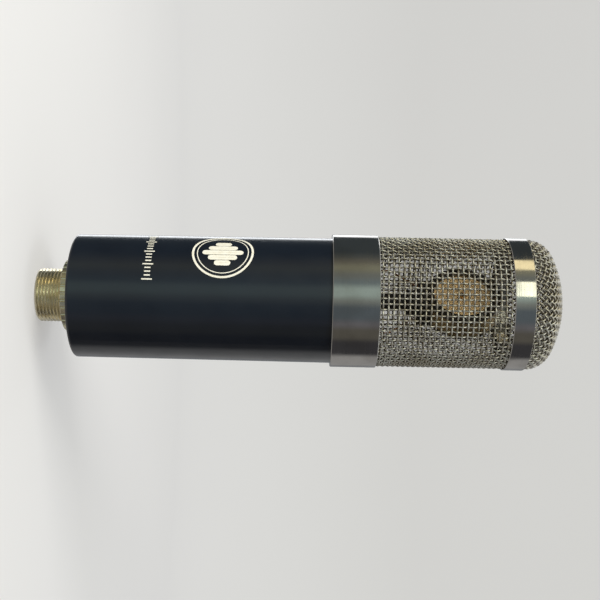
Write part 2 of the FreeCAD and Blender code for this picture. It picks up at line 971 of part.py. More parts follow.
def transformer_core():
    body = node(doc.addObject("PartDesign::Body", "Laminations"), "transformer_core")
    sketch = sketch_on(body, "XZ_Plane", "CoreOutline", -(S.core_depth / 2))
    half = S.core_width / 2
    high = S.core_low + S.core_height
    corners = [(-half, S.core_low), (half, S.core_low), (half, high), (-half, high)]
    outline(sketch, corners)
    window_low = S.core_low + (S.core_height - S.core_window_height) / 2
    window_high = window_low + S.core_window_height
    for side in (-1, 1):
        near = S.core_centre_limb / 2 * side
        far = (half - S.core_limb) * side
        outline(
            sketch,
            [(near, window_low), (far, window_low), (far, window_high), (near, window_high)],
        )
    pad = body.newObject("PartDesign::Pad", "CorePad")
    pad.Profile = sketch
    bind(pad, Length=S.core_depth)
    doc.recompute()


def transformer_winding():
    low = S.core_low + (S.core_height - S.core_window_height) / 2 + S.winding_gap
    height = S.core_window_height - S.winding_gap * 2
    half = S.core_width / 2 - S.core_limb - S.winding_gap
    inner = S.core_centre_limb / 2 + S.winding_gap
    inner_y = S.core_depth / 2 + S.winding_gap
    outside = box((-half, -(S.winding_depth / 2), low), (half * 2, S.winding_depth, height))
    inside = box((-inner, -inner_y, low), (inner * 2, inner_y * 2, height))
    node(cut(outside, inside), "transformer_winding")


def transformer_brackets():
    """Two angle brackets between the core's sides and the chassis end plate."""
    solids = []
    for side in (-1, 1):
        near = S.core_width / 2
        upright_low = near if side > 0 else -(near + S.bracket_thickness)
        foot_low = near if side > 0 else -(near + S.bracket_foot)
        depth = S.bracket_depth
        upright = box(
            (upright_low, -(depth / 2), chassis_low()),
            (S.bracket_thickness, depth, S.bracket_height),
        )
        foot = box(
            (foot_low, -(depth / 2), chassis_low()), (S.bracket_foot, depth, S.bracket_thickness)
        )
        solids.append(fuse(upright, foot))
    node(fuse(*solids), "transformer_brackets")


# ---- wires: straight runs joined by round bends ----


def bent_wire(points, radius, bend):
    """The solid of a wire along points, with an arc of the bend radius at each inner point."""
    edges = []
    start = points[0]
    for before, corner, after in zip(points, points[1:], points[2:]):
        towards = (before - corner).normalize()
        away = (after - corner).normalize()
        half_angle = towards.getAngle(away) / 2
        setback = bend / math.tan(half_angle)
        first = corner + towards * setback
        last = corner + away * setback
        inward = (towards + away).normalize()
        middle = corner + inward * (bend / math.sin(half_angle) - bend)
        edges.append(Part.LineSegment(start, first).toShape())
        edges.append(Part.Arc(first, middle, last).toShape())
        start = last
    edges.append(Part.LineSegment(start, points[-1]).toShape())
    spine = Part.Wire(edges)
    section = Part.Circle(points[0], points[1] - points[0], radius).toShape()
    return spine.makePipeShell([Part.Wire([section])], True, False)


def wire_node(label, routes, radius, bend):
    """One node of wires. Each route is a list of (x, y, z) sizes."""
    solids = []
    for route in routes:
        points = [FreeCAD.Vector(*[size(c).value for c in point]) for point in route]
        solids.append(bent_wire(points, radius.value, bend.value))
    wires = doc.addObject("Part::Feature", "Wires")
    wires.Shape = solids[0] if len(solids) == 1 else Part.makeCompound(solids)
    wires.Placement = FreeCAD.Placement()
    node(wires, label)


def output_wires():
    """From each contact's tail, past the transformer, to the front circuit board's lower edge."""
    routes = []
    tail = S.socket_depth + S.insert_length + S.contact_tail
    bend_height = chassis_low() + S.wire_radius * 2
    clear_y = -(S.winding_depth / 2 + S.wire_spacing)
    board_face = -(board_back() + S.board_thickness + S.wire_radius)
    spread = (1, -1, 0)
    for (x, y), column in zip(contact_places(), spread):
        far_x = S.wire_spacing * column
        level = bend_height - S.wire_radius * (1 if column else -1)
        routes.append(
            [
                (x, y, tail),
                (x, y, level),
                (far_x, clear_y, level),
                (far_x, clear_y, S.front_board_low - S.wire_bend_radius * 2),
                (far_x, board_face, S.front_board_low - S.wire_bend_radius / 2),
                (far_x, board_face, S.front_board_low + S.wire_overlap),
            ]
        )
    wire_node("output_wires", routes, S.wire_radius, S.wire_corner_radius)


# ---- capsule ----


def capsule_face(body_or_solid, turn):
    """Turns a piece made about Z so that it lies on the capsule's axis."""
    return place(body_or_solid, 0, 0, S.capsule_centre, turn)


def backplate_face():
    return S.spacer_half + S.backplate_thickness


def capsule_spacer():
    inner, outer = S.spacer_inner_radius, S.capsule_radius
    half = S.spacer_half
    capsule_face(plain_ring("capsule_spacer", inner, outer, -half, half), FORWARD)


def capsule_side(name, turn):
    """Backplate, membrane, clamp ring, ring screws and terminal of one side of the capsule."""
    face = backplate_face()
    ring_face = face + S.clamp_ring_thickness
    plate = plain_ring(f"{name}_backplate", S.terminal_hole, S.capsule_radius, S.spacer_half, face)
    shank_depth = S.backplate_thickness / 2
    drill(
        plate, S.ring_screw_circle, 0, S.ring_screw_hole, face - shank_depth, shank_depth,
        S.ring_screw_count,
    )
    capsule_face(plate, turn)
    membrane = plain_ring(
        f"{name}_membrane", S.terminal_hole, S.membrane_radius, face, face + S.membrane_thickness
    )
    capsule_face(membrane, turn)
    ring = plain_ring(
        f"{name}_clamp_ring", S.membrane_radius + S.membrane_clearance, S.capsule_radius, face,
        ring_face,
    )
    drill(
        ring, S.ring_screw_circle, 0, S.ring_screw_hole, face, S.clamp_ring_thickness,
        S.ring_screw_count,
    )
    capsule_face(ring, turn)
    screws = ring_screws(f"{name}_ring_screws", ring_face, ring_face - face + shank_depth)
    capsule_face(screws, turn)
    head_low = face + S.membrane_thickness
    terminal = turned(
        f"{name}_terminal",
        [
            (0, S.spacer_half),
            (S.terminal_hole - S.membrane_clearance, S.spacer_half),
            (S.terminal_hole - S.membrane_clearance, head_low),
            (S.terminal_radius, head_low),
            (S.terminal_radius, head_low + S.terminal_height),
            (0, head_low + S.terminal_height),
        ],
    )
    capsule_face(terminal, turn)


def ring_screws(label, head_low, shank):
    """A circle of small screws as separate solids in one body."""
    body = node(doc.addObject("PartDesign::Body", "RingScrews"), label)
    body.AllowCompound = True
    shank_sketch = sketch_on(body, "XY_Plane", "ShankPlace", head_low - shank)
    circle_in(shank_sketch, S.ring_screw_circle, 0, S.ring_screw_shank)
    shank_pad = body.newObject("PartDesign::Pad", "Shank")
    shank_pad.Profile = shank_sketch
    bind(shank_pad, Length=shank)
    head_sketch = sketch_on(body, "XY_Plane", "HeadPlace", head_low)
    circle_in(head_sketch, S.ring_screw_circle, 0, S.ring_screw_radius)
    head_pad = body.newObject("PartDesign::Pad", "Head")
    head_pad.Profile = head_sketch
    bind(head_pad, Length=S.ring_screw_head)
    doc.recompute()
    repeat_round(body, [shank_pad, head_pad], S.ring_screw_count)
    doc.recompute()
    return body


def post_base():
    return head_plate_bottom() + S.head_plate_thickness


def capsule_post():
    low = post_base()
    foot = low + S.post_foot_height
    high = low + S.post_height
    turned(
        "capsule_post",
        [
            (0, low),
            (S.post_foot_radius, low),
            (S.post_foot_radius, foot),
            (S.post_radius, foot),
            (S.post_radius, high),
            (0, high),
        ],
    )


def capsule_damper():
    low = post_base() + S.post_height
    high = low + S.damper_height
    middle = low + S.damper_height / 2
    turned(
        "capsule_damper",
        [
            (0, low),
            (S.damper_radius, low),
            (S.damper_radius - S.damper_waist, middle),
            (S.damper_radius, high),
            (0, high),
        ],
    )


def capsule_saddle():
    """A block under the capsule, hollowed to the capsule's round edge."""
    low = post_base() + S.post_height + S.damper_height
    half_y = S.saddle_depth / 2
    block = box(
        (-(S.saddle_width / 2), -half_y, low), (S.saddle_width, S.saddle_depth, S.saddle_height)
    )
    hollow = cylinder(
        S.capsule_radius + S.saddle_clearance, S.saddle_depth * 2, 0, -S.saddle_depth,
        S.capsule_centre, BACKWARD,
    )
    node(cut(block, hollow), "capsule_saddle")


def lead_posts():
    """Two insulated posts on the head plate where the capsule's leads end."""
    solids = []
    for side in (-1, 1):
        x = S.lead_post_offset * side
        y = S.lead_post_offset * side
        solids.append(cylinder(S.lead_post_radius, S.lead_post_height, x, y, post_base()))
    node(fuse(*solids), "lead_posts")


def capsule_lead(name, side):
    """From a terminal straight out, down in front of the capsule and onto its post."""
    terminal = (backplate_face() + S.membrane_thickness + S.terminal_height) * side
    standoff = terminal + S.lead_standoff * side
    x = S.lead_post_offset * side
    post = post_base() + S.lead_post_height
    route = [
        (0, terminal, S.capsule_centre),
        (0, standoff, S.capsule_centre),
        (0, standoff, S.capsule_centre - S.capsule_radius - S.lead_bend_radius),
        (x, S.lead_post_offset * side, post + S.lead_drop),
        (x, S.lead_post_offset * side, post),
    ]
    wire_node(f"{name}_capsule_lead", [route], S.lead_radius, S.lead_corner_radius)


def build():
    body_tube()
    collar_ring()
    mesh_cylinder("grille_mesh_cylinder", S.mesh_radius, S.mesh_thickness)
    fine_radius = S.mesh_radius - S.mesh_thickness - S.fine_mesh_gap
    mesh_cylinder("fine_mesh_cylinder", fine_radius, S.fine_mesh_thickness)
    grille_band()
    mesh_dome("grille_mesh_dome", 0, S.mesh_thickness)
    mesh_dome("fine_mesh_dome", S.mesh_thickness + S.fine_mesh_gap, S.fine_mesh_thickness)
    connector_housing()
    lock_ring()
    base_gasket()
    xlr_insulator()
    xlr_contacts()
    insert_screw()
    switch_plate()
    switch_plate_screws()
    for name, z in switch_heights().items():
        switch_knob(name, z)
        switch_case(name, z)
    switch_board()
    chassis_end_plate()
    chassis_screws()
    chassis_rail("chassis_rail_left", -1)
    chassis_rail("chassis_rail_right", 1)
    head_plate()
    head_plate_screws()
    for name, side, turn in BOARD_SIDES:
        circuit_board(name, side, turn)
    board_spacers()
    board_screws()
    film_capacitors()
    electrolytic_capacitors()
    resistors()
    input_transistor()
    transformer_core()
    transformer_winding()
    transformer_brackets()
    output_wires()
    capsule_spacer()
    capsule_side("front", FORWARD)
    capsule_side("rear", BACKWARD)
    capsule_post()
    capsule_damper()
    capsule_saddle()
    lead_posts()
    capsule_lead("front", -1)
    capsule_lead("rear", 1)


def check_and_write():
    doc.recompute()
    for thing in doc.Objects:
        if "Invalid" in thing.State or "Error" in thing.State:
            raise RuntimeError(f"{thing.Label} ({thing.Name}) failed: {thing.State}")
    os.makedirs("parts", exist_ok=True)
    for piece in nodes:
        if piece.Shape.isNull() or not piece.Shape.isValid() or not piece.Shape.Solids:
            raise RuntimeError(f"{piece.Label} has no valid solid")
    for piece in nodes:
        piece.Shape.exportStep(f"parts/{piece.Label}.step")
        extent = piece.Shape.BoundBox
        print(
            f"{piece.Label:26} solids {len(piece.Shape.Solids):2}"
            f"  volume {piece.Shape.Volume:10.1f}  z {extent.ZMin:7.2f} to {extent.ZMax:7.2f}"
        )
    print(len(nodes), "nodes")


build()
check_and_write()
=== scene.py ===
import json
import math

import bpy
import numpy as np
from mathutils import Matrix, Vector


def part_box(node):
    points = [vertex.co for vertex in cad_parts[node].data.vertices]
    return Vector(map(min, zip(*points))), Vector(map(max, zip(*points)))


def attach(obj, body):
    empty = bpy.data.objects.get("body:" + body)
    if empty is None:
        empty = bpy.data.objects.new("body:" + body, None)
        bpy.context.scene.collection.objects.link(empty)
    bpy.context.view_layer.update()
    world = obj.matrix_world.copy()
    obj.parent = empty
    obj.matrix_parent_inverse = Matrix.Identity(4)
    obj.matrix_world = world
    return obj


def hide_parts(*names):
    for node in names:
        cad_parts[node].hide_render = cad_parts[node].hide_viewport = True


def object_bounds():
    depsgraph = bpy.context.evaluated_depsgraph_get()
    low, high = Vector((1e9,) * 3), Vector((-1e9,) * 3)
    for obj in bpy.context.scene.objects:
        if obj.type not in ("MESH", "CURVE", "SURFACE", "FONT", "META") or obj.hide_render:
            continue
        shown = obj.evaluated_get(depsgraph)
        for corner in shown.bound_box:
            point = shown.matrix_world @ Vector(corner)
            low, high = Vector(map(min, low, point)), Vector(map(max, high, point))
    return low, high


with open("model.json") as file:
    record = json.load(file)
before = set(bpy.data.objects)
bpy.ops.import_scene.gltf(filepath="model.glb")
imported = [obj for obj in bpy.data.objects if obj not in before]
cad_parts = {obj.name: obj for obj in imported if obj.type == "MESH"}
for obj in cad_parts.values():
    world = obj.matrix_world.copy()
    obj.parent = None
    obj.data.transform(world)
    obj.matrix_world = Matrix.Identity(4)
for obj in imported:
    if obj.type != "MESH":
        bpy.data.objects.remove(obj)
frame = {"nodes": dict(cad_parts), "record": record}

# Looks of a side-address studio microphone. The frame's +Z runs along the microphone towards the
# grille and -Y is its front. Lengths are in millimetres in this script and in metres in the scene.

CAD_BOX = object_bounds()
MM = 0.001
TURN = 2 * math.pi


def extent(node):
    """Lowest and highest corner of a CAD node, in millimetres."""
    low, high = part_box(node)
    return low / MM, high / MM


# ---- camera ----

CAMERA_AZIMUTH = 45.5
CAMERA_DISTANCE = 470.0
CAMERA_LENS = 62.0
CAMERA_ROLL = 1.2


def facing(degrees_from_camera):
    """A level direction, turned from the camera's towards the top of the picture."""
    angle = math.radians(CAMERA_AZIMUTH - degrees_from_camera)
    return Vector((math.sin(angle), -math.cos(angle), 0.0))


def middle_of_object():
    low, high = CAD_BOX
    return (low + high) / 2


def make_camera():
    """Square to the axis, and rolled so that the microphone lies with its grille to the right."""
    camera = bpy.data.objects.new("camera", bpy.data.cameras.new("camera"))
    bpy.context.scene.collection.objects.link(camera)
    camera.data.lens = CAMERA_LENS
    back = facing(0)
    right = Vector((0, 0, 1))
    up = back.cross(right)
    rotation = Matrix((right, up, back)).transposed() @ Matrix.Rotation(
        math.radians(CAMERA_ROLL), 3, "Z"
    )
    camera.matrix_world = Matrix.Translation(
        middle_of_object() + back * CAMERA_DISTANCE * MM
    ) @ rotation.to_4x4()
    bpy.context.scene.camera = camera


make_camera()


# ---- material nodes ----


# Distance from stripe to stripe of the wave texture when its scale is 1.
WAVE_PERIOD = TURN / 20


class NodeTree:
    """Short calls for the nodes that the materials and the world share."""

    def __init__(self, tree):
        self.nodes = tree.nodes
        self.links = tree.links

    def feed(self, value, socket):
        """Gives a socket a number or a colour, or links it to another socket."""
        if isinstance(value, (int, float)):
            socket.default_value = value
        elif isinstance(value, tuple):
            socket.default_value = (*value, 1.0)
        else:
            self.links.new(value, socket)

    def ranged(self, value, low, high, out_low=0.0, out_high=1.0):
        scale = self.nodes.new("ShaderNodeMapRange")
        scale.interpolation_type = "SMOOTHSTEP"
        names = ("Value", "From Min", "From Max", "To Min", "To Max")
        for name, entry in zip(names, (value, low, high, out_low, out_high)):
            self.feed(entry, scale.inputs[name])
        return scale.outputs["Result"]

    def math(self, operation, first, second=0.0):
        node = self.nodes.new("ShaderNodeMath")
        node.operation = operation
        self.feed(first, node.inputs[0])
        self.feed(second, node.inputs[1])
        return node.outputs["Value"]

    def mixed(self, factor, first, second):
        """One colour turning into the other."""
        mix = self.nodes.new("ShaderNodeMix")
        mix.data_type = "RGBA"
        for number, entry in ((0, factor), (6, first), (7, second)):
            self.feed(entry, mix.inputs[number])
        return mix.outputs[2]


class Shader(NodeTree):
    """A material with one Principled node, and the patterns that feed it."""

    def __init__(self, name, **values):
        self.material = bpy.data.materials.new(name)
        self.material.use_nodes = True
        super().__init__(self.material.node_tree)
        self.surface = self.nodes["Principled BSDF"]
        self.place = self.nodes.new("ShaderNodeTexCoord").outputs["Object"]
        for socket, value in values.items():
            self.surface.inputs[socket.replace("_", " ")].default_value = value

    def stretched(self, stretch):
        mapping = self.nodes.new("ShaderNodeMapping")
        mapping.inputs["Scale"].default_value = stretch
        self.links.new(self.place, mapping.inputs["Vector"])
        return mapping.outputs["Vector"]

    def noise(self, size, detail=3.0, roughness=0.5, stretch=(1, 1, 1)):
        """Noise whose features are about size millimetres across, before the stretch."""
        texture = self.nodes.new("ShaderNodeTexNoise")
        texture.inputs["Scale"].default_value = 1 / (size * MM)
        texture.inputs["Detail"].default_value = detail
        texture.inputs["Roughness"].default_value = roughness
        self.links.new(self.stretched(stretch), texture.inputs["Vector"])
        return texture.outputs["Fac"]

    def cells(self, size, stretch):
        texture = self.nodes.new("ShaderNodeTexVoronoi")
        texture.inputs["Scale"].default_value = 1 / (size * MM)
        self.links.new(self.stretched(stretch), texture.inputs["Vector"])
        return texture.outputs["Distance"]

    def bands(self, size, direction, distortion=0.0):
        """Even stripes across direction, size millimetres apart."""
        texture = self.nodes.new("ShaderNodeTexWave")
        texture.bands_direction = direction
        texture.inputs["Scale"].default_value = WAVE_PERIOD / (size * MM)
        texture.inputs["Distortion"].default_value = distortion
        self.links.new(self.place, texture.inputs["Vector"])
        return texture.outputs["Fac"]

    def colour(self, socket):
        self.links.new(socket, self.surface.inputs["Base Color"])

    def roughness(self, socket):
        self.links.new(socket, self.surface.inputs["Roughness"])

    def bump(self, height, depth):
        """Relief of depth millimetres."""
        node = self.nodes.new("ShaderNodeBump")
        node.inputs["Distance"].default_value = depth * MM
        self.links.new(height, node.inputs["Height"])
        self.links.new(node.outputs["Normal"], self.surface.inputs["Normal"])


def body_lacquer(name):
    """Black lacquer with a faint blue cast and a slight orange peel."""
    s = Shader(name, Coat_Weight=1.0, Coat_Roughness=0.12, Specular_IOR_Level=0.5)
    cloud = s.ranged(s.noise(28.0, 3.0), 0.3, 0.7)
    s.colour(s.mixed(cloud, (0.0035, 0.0062, 0.0125), (0.0055, 0.0090, 0.0165)))
    s.roughness(s.ranged(s.noise(9.0, 4.0), 0.3, 0.7, 0.28, 0.38))
    s.bump(s.noise(1.6, 1.0), 0.0025)
    return s.material


# Relief of a turned surface: the depth of its fine lines, in millimetres, and how many times deeper
# its slow waves are.
LINE_DEPTH = 0.004
WAVE_MULTIPLE = 12.5
ROUND_THE_AXIS = (0.004, 0.004, 1.0)


def turned_metal(name, light, dark, smooth, rough):
    """Metal finished on a lathe: fine lines round the axis, faint smears and darker patches."""
    s = Shader(name, Metallic=1.0)
    s.colour(s.mixed(s.ranged(s.noise(14.0, 4.0), 0.35, 0.7), light, dark))
    smear = s.ranged(s.noise(7.0, 5.0, 0.6), 0.3, 0.75, smooth, rough)
    rings = s.noise(0.25, 2.0, 0.6, ROUND_THE_AXIS)
    s.roughness(s.math("ADD", smear, s.ranged(rings, 0.4, 0.6, -0.02, 0.03)))
    waves = s.math("MULTIPLY", s.noise(16.0, 1.0), WAVE_MULTIPLE)
    s.bump(s.math("ADD", rings, waves), LINE_DEPTH)
    return s.material


def wire_metal(name):
    """Nickel-plated wire with warm, slightly tarnished patches."""
    s = Shader(name, Metallic=1.0)
    patch = s.ranged(s.noise(11.0, 4.0), 0.35, 0.7)
    s.colour(s.mixed(patch, (0.80, 0.765, 0.68), (0.60, 0.545, 0.44)))
    s.roughness(s.ranged(s.noise(2.5, 3.0), 0.3, 0.7, 0.2, 0.36))
    s.bump(s.noise(0.2, 2.0), 0.004)
    return s.material


def fine_wire_metal(name):
    """Darkened brass wire."""
    s = Shader(name, Metallic=1.0)
    s.colour(s.mixed(s.noise(9.0), (0.17, 0.15, 0.115), (0.10, 0.085, 0.06)))
    s.roughness(s.ranged(s.noise(3.0), 0.3, 0.7, 0.35, 0.5))
    return s.material


def brass(name, light, dark, smooth=0.2, rough=0.34):
    """Bare or gilded brass and copper with spots of tarnish."""
    s = Shader(name, Metallic=1.0)
    tarnish = s.ranged(s.noise(5.0, 6.0, 0.65), 0.45, 0.75)
    s.colour(s.mixed(tarnish, light, dark))
    s.roughness(s.ranged(s.noise(3.0, 4.0), 0.3, 0.7, smooth, rough))
    s.bump(s.noise(0.3, 3.0), 0.006)
    return s.material


def gold_film(name):
    """Gold-sputtered film, stretched flat, with very slight ripples."""
    s = Shader(name, Metallic=0.1)
    s.colour(s.mixed(s.noise(6.0, 2.0), (1.0, 0.72, 0.36), (0.96, 0.63, 0.27)))
    s.roughness(s.ranged(s.noise(4.0, 2.0), 0.3, 0.7, 0.36, 0.48))
    s.bump(s.noise(2.2, 1.0), 0.03)
    return s.material


def moulded(name, light, dark, roughness=0.45):
    """Moulded plastic or rubber with a fine grain."""
    s = Shader(name)
    s.colour(s.mixed(s.noise(6.0, 4.0), light, dark))
    s.roughness(s.ranged(s.noise(1.5, 3.0), 0.3, 0.7, roughness - 0.06, roughness + 0.08))
    s.bump(s.noise(0.25, 2.0), 0.01)
    return s.material


def worn_metal(name, light, dark, smooth=0.25, rough=0.42):
    """Plain machined or plated metal with faint scratches."""
    s = Shader(name, Metallic=1.0)
    s.colour(s.mixed(s.ranged(s.noise(4.0, 5.0), 0.35, 0.7), light, dark))
    s.roughness(s.ranged(s.noise(2.0, 4.0), 0.3, 0.7, smooth, rough))
    s.bump(s.noise(0.4, 3.0, 0.6, (1.0, 0.1, 1.0)), 0.006)
    return s.material


def circuit_board(name):
    """Solder mask over copper tracks, which show as a lighter green."""
    s = Shader(name, Coat_Weight=0.3, Coat_Roughness=0.2)
    tracks = s.ranged(s.cells(2.6, (1.0, 0.05, 0.35)), 0.42, 0.46)
    s.colour(s.mixed(tracks, (0.012, 0.12, 0.045), (0.03, 0.24, 0.09)))
    s.roughness(s.ranged(s.noise(2.0), 0.3, 0.7, 0.3, 0.42))
    s.bump(tracks, 0.03)
    return s.material


def laminations(name):
    """The edges of stacked steel sheets."""
    s = Shader(name, Metallic=1.0)
    sheets = s.bands(0.5, "Y")
    s.colour(s.mixed(sheets, (0.30, 0.30, 0.32), (0.12, 0.115, 0.11)))
    s.roughness(s.ranged(s.noise(2.0), 0.3, 0.7, 0.35, 0.5))
    s.bump(sheets, 0.05)
    return s.material


def winding(name):
    """Copper wire in layers under thin amber tape."""
    s = Shader(name, Metallic=0.5, Coat_Weight=0.5, Coat_Roughness=0.15)
    turns = s.bands(0.4, "Z", 0.3)
    s.colour(s.mixed(turns, (0.62, 0.24, 0.08), (0.28, 0.10, 0.03)))
    s.roughness(s.ranged(s.noise(3.0), 0.3, 0.7, 0.3, 0.45))
    s.bump(turns, 0.04)
    return s.material


def printed_ink(name):
    """Pale cream screen print, a little uneven."""
    s = Shader(name)
    s.colour(s.mixed(s.ranged(s.noise(2.0, 4.0), 0.3, 0.7), (0.93, 0.90, 0.79), (0.86, 0.82, 0.68)))
    s.roughness(s.ranged(s.noise(0.8, 3.0), 0.3, 0.7, 0.4, 0.55))
    s.bump(s.noise(0.25, 2.0), 0.004)
    return s.material


def satin_black(name):
    """Painted sheet metal."""
    s = Shader(name, Specular_IOR_Level=0.4)
    s.colour(s.mixed(s.noise(5.0, 4.0), (0.010, 0.010, 0.011), (0.018, 0.018, 0.019)))
    s.roughness(s.ranged(s.noise(1.5, 3.0), 0.3, 0.7, 0.38, 0.5))
    s.bump(s.noise(0.2, 2.0), 0.006)
    return s.material


FINISHES = {
    "body_lacquer": (body_lacquer,),
    "nickel_polished": (turned_metal, (0.62, 0.595, 0.56), (0.50, 0.475, 0.44), 0.08, 0.17),
    "mesh_wire": (wire_metal,),
    "fine_mesh": (fine_wire_metal,),
    "brass_threaded": (brass, (1.0, 0.91, 0.66), (0.86, 0.74, 0.48)),
    "rubber": (moulded, (0.014, 0.014, 0.014), (0.022, 0.022, 0.021), 0.7),
    "insulator_plastic": (moulded, (0.012, 0.012, 0.013), (0.02, 0.02, 0.02)),
    "insulator_white": (moulded, (0.80, 0.79, 0.75), (0.70, 0.69, 0.65), 0.4),
    "gold_contacts": (brass, (1.0, 0.72, 0.33), (0.86, 0.58, 0.24), 0.14, 0.26),
    "screw_steel": (worn_metal, (0.62, 0.62, 0.63), (0.44, 0.44, 0.45)),
    "switch_plate_finish": (satin_black,),
    "knob_plastic": (moulded, (0.74, 0.73, 0.69), (0.64, 0.63, 0.58), 0.4),
    "switch_case_steel": (worn_metal, (0.6, 0.6, 0.58), (0.42, 0.42, 0.40)),
    "circuit_board": (circuit_board,),
    "chassis_aluminium": (worn_metal, (0.74, 0.74, 0.75), (0.60, 0.60, 0.61)),
    "capacitor_plastic": (moulded, (0.46, 0.05, 0.03), (0.36, 0.04, 0.02), 0.3),
    "capacitor_can": (moulded, (0.03, 0.05, 0.14), (0.02, 0.03, 0.10), 0.3),
    "resistor_body": (moulded, (0.20, 0.38, 0.58), (0.15, 0.30, 0.48), 0.35),
    "core_steel": (laminations,),
    "winding_copper": (winding,),
    "wire_plastic": (moulded, (0.52, 0.05, 0.04), (0.42, 0.04, 0.03), 0.4),
    "capsule_brass": (turned_metal, (0.72, 0.52, 0.24), (0.55, 0.38, 0.16), 0.2, 0.3),
    "capsule_ring": (worn_metal, (0.15, 0.14, 0.125), (0.09, 0.085, 0.075), 0.2, 0.35),
    "gold_membrane": (gold_film,),
    "lead_copper": (brass, (0.78, 0.42, 0.20), (0.60, 0.30, 0.13)),
}
MATERIALS = {slot: finish(slot, *values) for slot, (finish, *values) in FINISHES.items()}
INK = printed_ink("printed_ink")


def finish_cad_nodes():
    """Gives every CAD node the material of its slot."""
    for part in frame["record"]["subparts"]:
        for holder in frame["nodes"][part["node"]].material_slots:
            holder.material = MATERIALS[part["material_slot"]]


finish_cad_nodes()


# ---- mesh helpers ----


def piece(name, points, faces, slot, material=None, body="microphone", replaces=(), sharp=35.0):
    """A closed mesh in the scene from points in millimetres, riding on a CAD body."""
    mesh = bpy.data.meshes.new(name)
    mesh.from_pydata((np.asarray(points, float) * MM).tolist(), [], faces)
    mesh.shade_smooth()
    mesh.set_sharp_from_angle(angle=math.radians(sharp))
    mesh.materials.append(material or MATERIALS[slot])
    thing = bpy.data.objects.new(name, mesh)
    bpy.context.scene.collection.objects.link(thing)
    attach(thing, body)
    if replaces:
        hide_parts(*replaces)
    return thing


def swept(paths, outward, radius, sides, closed=False):
    """Points and faces of wires. paths and outward are arrays of (wire, step, xyz); outward is the
    surface's normal, which keeps each wire's section from twisting."""
    if closed:
        forward = np.roll(paths, -1, axis=1) - np.roll(paths, 1, axis=1)
    else:
        forward = np.gradient(paths, axis=1)
    across = np.cross(forward, outward)
    across /= np.linalg.norm(across, axis=2, keepdims=True)
    above = np.cross(across, forward)
    above /= np.linalg.norm(above, axis=2, keepdims=True)
    angles = np.arange(sides) * TURN / sides
    ring = (
        np.cos(angles)[:, None] * across[:, :, None, :]
        + np.sin(angles)[:, None] * above[:, :, None, :]
    )
    points = paths[:, :, None, :] + radius * ring
    wires, steps = paths.shape[:2]
    index = np.arange(wires * steps * sides).reshape(wires, steps, sides)
    after = np.roll(index, -1, axis=1) if closed else index[:, 1:]
    before = index if closed else index[:, :-1]
    faces = np.stack(
        [before, after, np.roll(after, -1, axis=2), np.roll(before, -1, axis=2)], axis=-1
    )
    faces = faces.reshape(-1, 4).tolist()
    if not closed:
        faces += index[:, 0].tolist()
        faces += index[:, -1, ::-1].tolist()
    return points.reshape(-1, 3), faces


def joined(parts):
    """Several (points, faces) as one."""
    points = []
    faces = []
    count = 0
    for part_points, part_faces in parts:
        faces += [[i + count for i in face] for face in part_faces]
        points.append(np.asarray(part_points, float))
        count += len(part_points)
    return np.concatenate(points), faces


def lathe(rows, segments, closed=True):
    """Points and faces turned about Z. Each row is (radius, height), and the radius may be a
    function of the angles round the turn."""
    angles = np.arange(segments) * TURN / segments
    points = []
    for radius, height in rows:
        reach = radius(angles) if callable(radius) else np.full(segments, float(radius))
        points.append(
            np.stack([reach * np.cos(angles), reach * np.sin(angles), np.full(segments, height)], 1)
        )
    index = np.arange(len(rows) * segments).reshape(len(rows), segments)
    after = np.roll(index, -1, axis=0) if closed else index[1:]
    before = index if closed else index[:-1]
    faces = np.stack(
        [before, np.roll(before, -1, axis=1), np.roll(after, -1, axis=1), after], axis=-1
    )
    return np.concatenate(points), faces.reshape(-1, 4).tolist()


# ---- woven grille ----

WIRE_RADIUS = 0.4
AXIAL_WIRES = 76
WIRE_SIDES = 6
STEPS_PER_CROSSING = 4
HOOP_PITCH = 2.33
SEAT_GAP = 0.2
CAP_RADIUS = 50.0
SHOULDER_RADIUS = 11.0
WIRE_SHARP = 75
FINE_WIRE_RADIUS = 0.04
FINE_PITCH = 0.5
FINE_SIDES = 4
FINE_STEP = 2.2
FINE_HOOP_STEPS = 96
FINE_UPRIGHT_STEPS = 3

collar_top = extent("collar_ring")[1].z
band_foot = extent("grille_band")[0].z
cylinder_low, cylinder_high = extent("grille_mesh_cylinder")
dome_low, dome_high = extent("grille_mesh_dome")
WEAVE_RADIUS = cylinder_high.x - 2 * WIRE_RADIUS


def around(angles, radius, heights):
    """Points on the grille's cylinder, and their outward directions."""
    angles, radius, heights = np.broadcast_arrays(angles, radius, heights)
    outward = np.stack([np.cos(angles), np.sin(angles), np.zeros_like(angles)], -1)
    points = outward * radius[..., None]
    points[..., 2] = heights
    return points, outward


